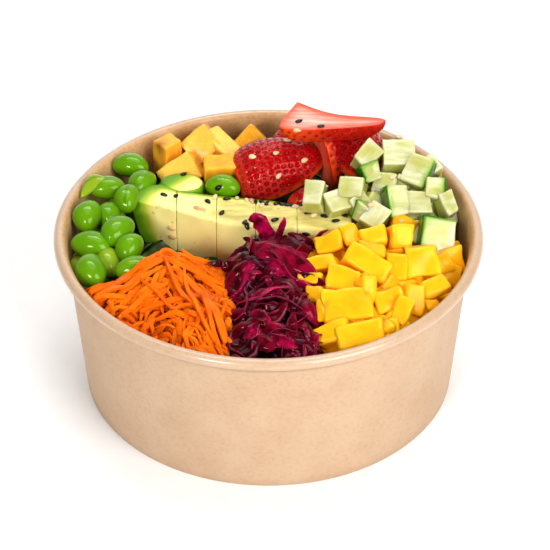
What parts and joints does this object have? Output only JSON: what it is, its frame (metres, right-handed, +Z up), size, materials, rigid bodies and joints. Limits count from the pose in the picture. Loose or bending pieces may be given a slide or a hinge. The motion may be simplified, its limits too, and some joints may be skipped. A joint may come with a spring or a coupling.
{
  "type": "poke bowl",
  "caption": "Round kraft paper bowl filled with edamame, pineapple, strawberry, cucumber, mango, red cabbage, grated carrot and sliced avocado, with sesame seeds.",
  "frame": {"origin": "on the bowl's axis at the level its foot stands on", "axes": "+Z up along the bowl's axis; -Y is the front, where the carrot and cabbage lie; +X is the right, where the mango and cucumber lie"},
  "size_m": [0.165, 0.165, 0.0889],
  "materials": {
    "kraft_paper": "matte brown kraft board with a thin clear lining",
    "leaf": "dark green salad leaf",
    "edamame": "smooth wet bean skin",
    "carrot": "moist grated root",
    "cabbage": "wet purple leaf with paler edges",
    "mango": "moist cut fruit",
    "cucumber": "moist cut flesh with dark green skin",
    "avocado": "smooth cut flesh, greener at the skin",
    "pineapple": "moist fibrous cut fruit",
    "strawberry": "glossy red skin with pale seeds and pink flesh"
  },
  "bodies": {
    "root": {"bowl": "kraft_paper", "leaf_bed": "leaf", "edamame_heap": "edamame", "edamame_bean": "edamame", "carrot_heap": "carrot", "cabbage_heap": "cabbage", "mango_heap": "mango", "cucumber_heap": "cucumber", "avocado_1": "avocado", "avocado_2": "avocado", "avocado_3": "avocado", "avocado_4": "avocado", "avocado_5": "avocado", "avocado_end": "avocado", "pineapple_1": "pineapple", "pineapple_2": "pineapple", "pineapple_3": "pineapple", "pineapple_4": "pineapple", "pineapple_5": "pineapple", "pineapple_6": "pineapple", "pineapple_7": "pineapple", "strawberry_slice": "strawberry", "strawberry_1": "strawberry", "strawberry_2": "strawberry", "strawberry_3": "strawberry", "strawberry_4": "strawberry", "strawberry_5": "strawberry"}
  },
  "joints": []
}
